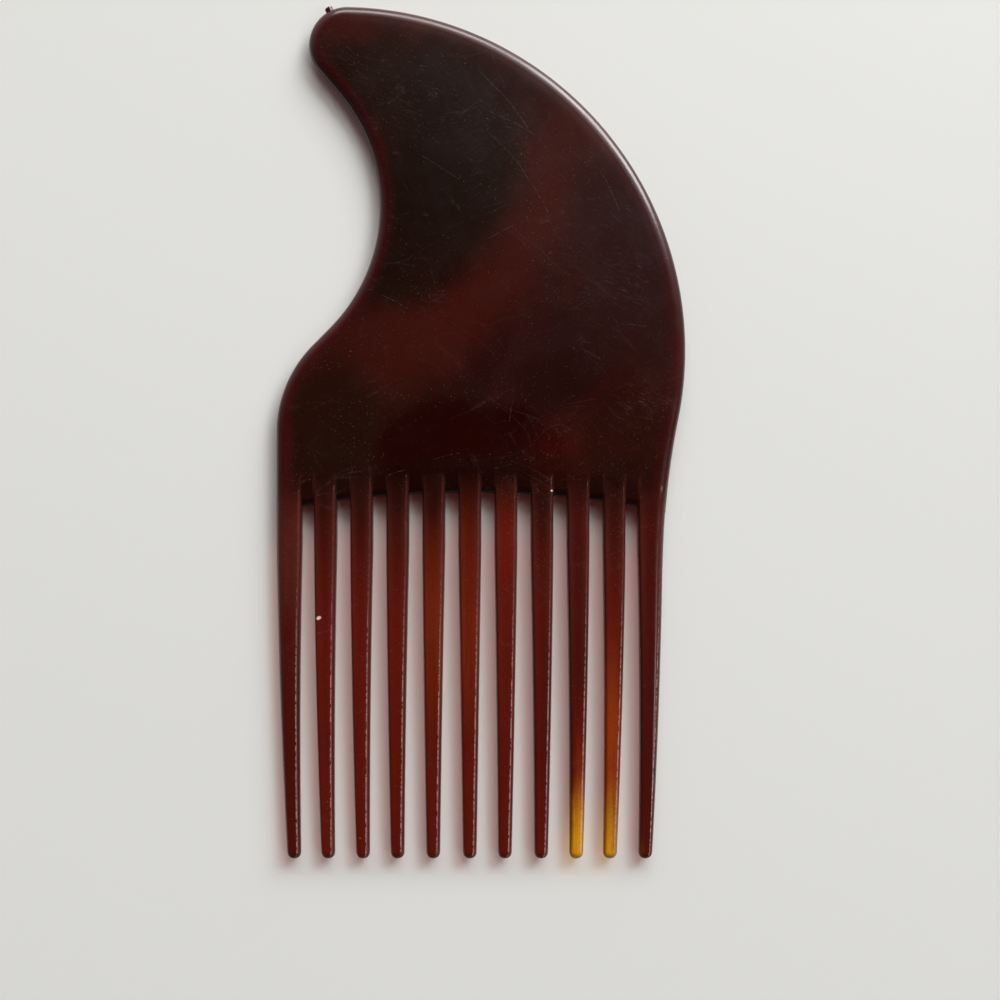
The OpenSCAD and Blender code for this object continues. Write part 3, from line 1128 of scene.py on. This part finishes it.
def scratches(sheet, place):
    """Where the single scratches and the faint long hairlines lie."""
    wander = sheet.shift(place, *SCRATCH_SHIFT)
    marks = sheet.strongest(*(sheet.scratch(wander, Scratch(*row)) for row in SCRATCHES))
    breaks = sheet.noise(place, *BREAKS)
    marks = sheet.product(marks, sheet.fade(breaks, *BREAKS_FADE))
    bent = sheet.shift(place, *HAIRLINE_SHIFT)
    for turn, along, apart in HAIRLINES:
        waves = sheet.drawn_out(bent, turn, along, apart, 1, 0.5)
        line = sheet.fade(sheet.apart(waves, 0.5), *HAIRLINE_FADE)
        where = sheet.streaks(bent, Streaks(turn, *HAIRLINE_STRETCH))
        line = sheet.product(line, where, sheet.fade(breaks, *NOISE_FADE), HAIRLINE_STRENGTH)
        marks = sheet.strongest(marks, line)
    return marks


def specks(sheet, place):
    """Where round specks of dust lie, in some of the cells of a grid."""
    spacing, size, share_of_cells = SPECKS
    cells = sheet.put("TexVoronoi", {"Vector": place, "Scale": 1 / spacing})
    chance = sheet.put("SeparateXYZ", {0: cells.outputs["Color"]}).outputs["X"]
    reach = sheet.scaled(sheet.fade(chance, 1 - share_of_cells, 1), size / spacing, -SPECK_SHRINK)
    return sheet.fade(sheet.math("SUBTRACT", cells.outputs["Distance"], reach), *SPECK_EDGE)


def flecks(sheet, place):
    """Where fine flecks of dust lie, more of them in some places than in others."""
    thick = sheet.fade(sheet.noise(place, FLECK_AREAS), *NOISE_FADE)
    limit = sheet.scaled(thick, -FLECK_SPREAD, FLECK_LIMIT)
    over = sheet.math("SUBTRACT", sheet.noise(place, FLECK_SIZE, 1, 0.5), limit)
    return sheet.fade(over, 0, FLECK_SPREAD)


def wear(sheet, plastic, place):
    """How much of the surface is marked: scratches, scuffs and dust."""
    scratched = sheet.product(scratches(sheet, place), plastic.scuffing)
    scuffed = sheet.strongest(*(sheet.patch(place, Patch(*row)) for row in SCUFFS))
    scuffed = sheet.product(scuffed, sheet.streaks(sheet.shift(place, *GRIT_SHIFT), GRIT), plastic.scuffing)
    dust = sheet.product(flecks(sheet, place), FLECK_STRENGTH)
    return sheet.strongest(scratched, scuffed, dust, sheet.product(specks(sheet, place), SPECK_STRENGTH))


def moulded_colour(sheet, plastic, place):
    """The plastic's colour: the grip, painted shade on the rounded ends of the gaps, and the teeth from the
    slope on, with their painted glint.
    """
    height = sheet.put("SeparateXYZ", {0: place}).outputs["Y"]
    inset = sheet.note("tooth_inset")
    colour = grip_colour(sheet, plastic, place)
    # Painted shade on the rounded ends of the gaps
    gap_shade_mask = sheet.fade(sheet.note("over_gap"), *GAP_END_FADE)
    gap_shade_mask = sheet.product(gap_shade_mask, sheet.fade(inset, *BESIDE_FADE), GAP_END_STRENGTH)
    colour = sheet.blend(gap_shade_mask, colour, plastic.painted_gap_shade)
    on_teeth = sheet.fade(inset, *TOOTH_FADE)
    teeth = tooth_colour(sheet, plastic, place, height)
    colour = sheet.blend(sheet.product(sheet.fade(height, *TEETH_HEIGHTS), on_teeth), colour, teeth)
    colour = sheet.blend(on_teeth, colour, tooth_sides(sheet, plastic, height, colour))
    # Painted highlight: the broken glint line along the right side of each tooth
    colour = sheet.blend(glint_line(sheet, place, height), colour, plastic.glint)
    return patched(sheet, plastic, place, colour, CHIPS)


def worn_colour(sheet, plastic, place, colour, worn, grain):
    """The plastic's colour under its marks and its grey film, with a fine grain of tones."""
    colour = sheet.blend(sheet.product(worn, MARK_STRENGTH), colour, plastic.dust)
    colour = patched(sheet, plastic, place, colour, (FILM,))
    tones = sheet.vector("MULTIPLY_ADD", grain.outputs["Color"], GRAIN_RANGE, GRAIN_LOW)
    return sheet.blend(1, colour, tones, "MULTIPLY")


def surface_roughness(sheet, plastic, worn, waves):
    """A slightly uneven satin gloss, which is duller where the surface is marked."""
    even = plastic.roughness - UNEVEN / 2
    roughness = sheet.scaled(sheet.fade(waves, *NOISE_FADE), UNEVEN, even)
    return sheet.scaled(worn, MARK_ROUGHNESS, roughness)


def surface_relief(sheet, worn, waves, grain):
    """The fine relief of marks, grain and waves, and the face's slight fall towards the rim."""
    relief = sheet.scaled(grain.outputs["Fac"], GRAIN_DEPTH, sheet.product(worn, -MARK_DEPTH))
    relief = sheet.scaled(waves, WAVE_DEPTH, relief)
    fall = sheet.fade(sheet.note("rim_distance"), FALL_START, FALL_END, "LINEAR")
    relief = sheet.scaled(sheet.math("POWER", fall, FALL_POWER), -FALL_DEPTH, relief)
    return sheet.put("Bump", {"Height": relief, "Distance": MM, "Strength": 1.0}).outputs["Normal"]


def pass_light_on(sheet, plastic, colour, shader):
    """Lets the light of the windows pass through the plastic, most of it through the teeth."""
    in_gaps = sheet.fade(sheet.note("over_gap"), *CLEAR_FADE)
    tint = sheet.blend(in_gaps, plastic.shadow, plastic.tooth_shadow)
    bright = sheet.fade(sheet.put("SeparateColor", {0: colour}).outputs["Green"], *BRIGHT_FADE)
    tint = sheet.blend(bright, tint, BRIGHT_SHADOW)
    clear = sheet.put("BsdfTransparent", {"Color": tint})
    shadow_ray = sheet.put("LightPath").outputs["Is Shadow Ray"]
    both = sheet.put("MixShader", {0: shadow_ray, 1: shader.outputs[0], 2: clear.outputs[0]})
    sheet.feed(sheet.tree.nodes["Material Output"].inputs["Surface"], both.outputs[0])


def mould_look(plastic):
    """The worn tortoiseshell plastic."""
    material, sheet, shader = new_material("worn_tortoiseshell")
    shader.inputs["Roughness"].default_value = plastic.roughness
    metres = sheet.put("TexCoord").outputs["Object"]
    place = sheet.vector("SCALE", metres, Scale=1 / MM)
    worn = wear(sheet, plastic, place)
    grain = sheet.noise_node(place, *GRAIN)
    waves = sheet.noise(place, WAVE_SIZE)
    moulded = moulded_colour(sheet, plastic, place)
    colour = worn_colour(sheet, plastic, place, moulded, worn, grain)
    sheet.feed(shader.inputs["Base Color"], colour)
    sheet.feed(shader.inputs["Roughness"], surface_roughness(sheet, plastic, worn, waves))
    sheet.feed(shader.inputs["Normal"], surface_relief(sheet, worn, waves, grain))
    pass_light_on(sheet, plastic, colour, shader)
    return material


def lay_floor(stage):
    """A plain pale floor just under the pick."""
    deselect_all()
    bpy.ops.mesh.primitive_plane_add(size=FLOOR_SIZE, location=(0, 0, -FLOOR_GAP))
    floor = bpy.context.object
    floor.name = "floor"
    bpy.ops.object.transform_apply(location=True)
    material, sheet, shader = new_material("pale_floor")
    sheet.feed(shader.inputs["Base Color"], stage.floor)
    sheet.feed(shader.inputs["Roughness"], FLOOR_ROUGHNESS)
    floor.data.materials.append(material)


def way_to(side, rise):
    """The direction that lies so many degrees to the right of +Y, and so many over the floor."""
    level = cos(radians(rise))
    return Vector((sin(radians(side)) * level, cos(radians(side)) * level, sin(radians(rise))))


def hang_windows(stage):
    """Two windows beside each other, as area lights that face the pick."""
    for window in WINDOWS:
        way = way_to(window.side, window.rise)
        deselect_all()
        bpy.ops.object.light_add(type="AREA", location=way * WINDOW_REACH)
        light = bpy.context.object
        light.name = "window"
        light.rotation_euler = way.to_track_quat("Z", "Y").to_euler()
        light.data.shape = "RECTANGLE"
        light.data.size, light.data.size_y = window.size
        light.data.energy = stage.light * window.strength * pi * window.size[0] * window.size[1]


def place_camera(stage, scene):
    """A camera straight above the pick."""
    deselect_all()
    place = Vector((stage.view_x, stage.view_y, CAD_BOX[1].z / 2 + stage.view_height))
    bpy.ops.object.camera_add(location=place, rotation=(0, 0, 0))
    camera = bpy.context.object
    camera.data.sensor_width = SENSOR
    camera.data.lens = SENSOR * stage.view_height / stage.view_width
    camera.data.clip_start = NEAREST
    scene.camera = camera


def light_room(scene):
    """The light that comes from the room: a dim ceiling, brighter walls and two glows."""
    world = bpy.data.worlds.new("room")
    world.use_nodes = True
    sheet = NodeSheet(world.node_tree)
    way = sheet.put("TexCoord").outputs["Generated"]
    parts = sheet.put("SeparateXYZ", {0: way})
    ahead = sheet.scaled(sheet.fade(parts.outputs["Y"], *AHEAD_FADE), 1 - DIM_SIDE, DIM_SIDE)
    walls = sheet.product(sheet.fade(parts.outputs["Z"], *WALL_FADE), ahead, WALL_LIGHT)
    light = sheet.math("ADD", walls, CEILING_LIGHT)
    for glow in GLOWS:
        towards = sheet.vector("DOT_PRODUCT", way, way_to(glow.side, glow.rise), output="Value")
        part = sheet.fade(towards, cos(radians(glow.outer)), cos(radians(glow.inner)))
        light = sheet.scaled(sheet.math("POWER", part, glow.power), glow.light, light)
    background = world.node_tree.nodes["Background"]
    sheet.feed(background.inputs["Strength"], light)
    sheet.feed(background.inputs["Color"], ROOM_COLOUR)
    scene.world = world
    scene.view_settings.view_transform = "Standard"


class HAIRPICK_OT_mould(bpy.types.Operator):
    """Model the grip, the teeth and the gate stub as one moulding"""

    bl_idname = "hairpick.mould"
    bl_label = "Mould the Pick"
    bl_options = {"REGISTER", "UNDO"}

    def execute(self, context):
        plan = Plan(context.scene.hair_pick)
        piece = model_grip(plan)
        weld(piece, model_teeth(plan))
        weld(piece, model_gate_stub(plan))
        smooth(piece)
        note_places(piece, plan)
        return {"FINISHED"}


class HAIRPICK_OT_dress(bpy.types.Operator):
    """Give the moulding its tortoiseshell plastic and its place in the frame"""

    bl_idname = "hairpick.dress"
    bl_label = "Dress the Pick"
    bl_options = {"REGISTER", "UNDO"}

    def execute(self, context):
        piece = bpy.data.objects["hair_pick"]
        piece.data.materials.append(mould_look(context.scene.hair_pick.plastic))
        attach(piece, "root")
        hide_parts("grip", "teeth")
        return {"FINISHED"}


class HAIRPICK_OT_stage(bpy.types.Operator):
    """Set the floor, the window light and the camera"""

    bl_idname = "hairpick.stage"
    bl_label = "Set the Stage"
    bl_options = {"REGISTER", "UNDO"}

    def execute(self, context):
        stage = context.scene.hair_pick.stage
        lay_floor(stage)
        hang_windows(stage)
        place_camera(stage, context.scene)
        light_room(context.scene)
        return {"FINISHED"}


class HAIRPICK_PT_tools(bpy.types.Panel):
    """The steps that make the hair pick and its stage"""

    bl_label = "Hair Pick"
    bl_idname = "HAIRPICK_PT_tools"
    bl_space_type = "VIEW_3D"
    bl_region_type = "UI"
    bl_category = "Hair Pick"

    def draw(self, context):
        column = self.layout.column(align=True)
        for step in STEPS:
            column.operator(step.bl_idname)
        for group in ("grip", "teeth", "plastic", "stage"):
            box = self.layout.box()
            box.label(text=group.capitalize())
            sizes = getattr(context.scene.hair_pick, group)
            for name in sizes.bl_rna.properties.keys():
                if name not in ("rna_type", "name"):
                    box.prop(sizes, name)


STEPS = (HAIRPICK_OT_mould, HAIRPICK_OT_dress, HAIRPICK_OT_stage)
CLASSES = (GripSizes, TeethSizes, PlasticLook, StageSizes, HairPickSettings, *STEPS, HAIRPICK_PT_tools)


def register():
    """Makes the settings, the steps and the panel known."""
    for kind in CLASSES:
        bpy.utils.register_class(kind)
    bpy.types.Scene.hair_pick = PointerProperty(type=HairPickSettings)


def unregister():
    """Takes them out again."""
    del bpy.types.Scene.hair_pick
    for kind in reversed(CLASSES):
        bpy.utils.unregister_class(kind)


def main():
    """Runs every step in order."""
    register()
    bpy.ops.hairpick.mould()
    bpy.ops.hairpick.dress()
    bpy.ops.hairpick.stage()


if __name__ == "__main__":
    main()
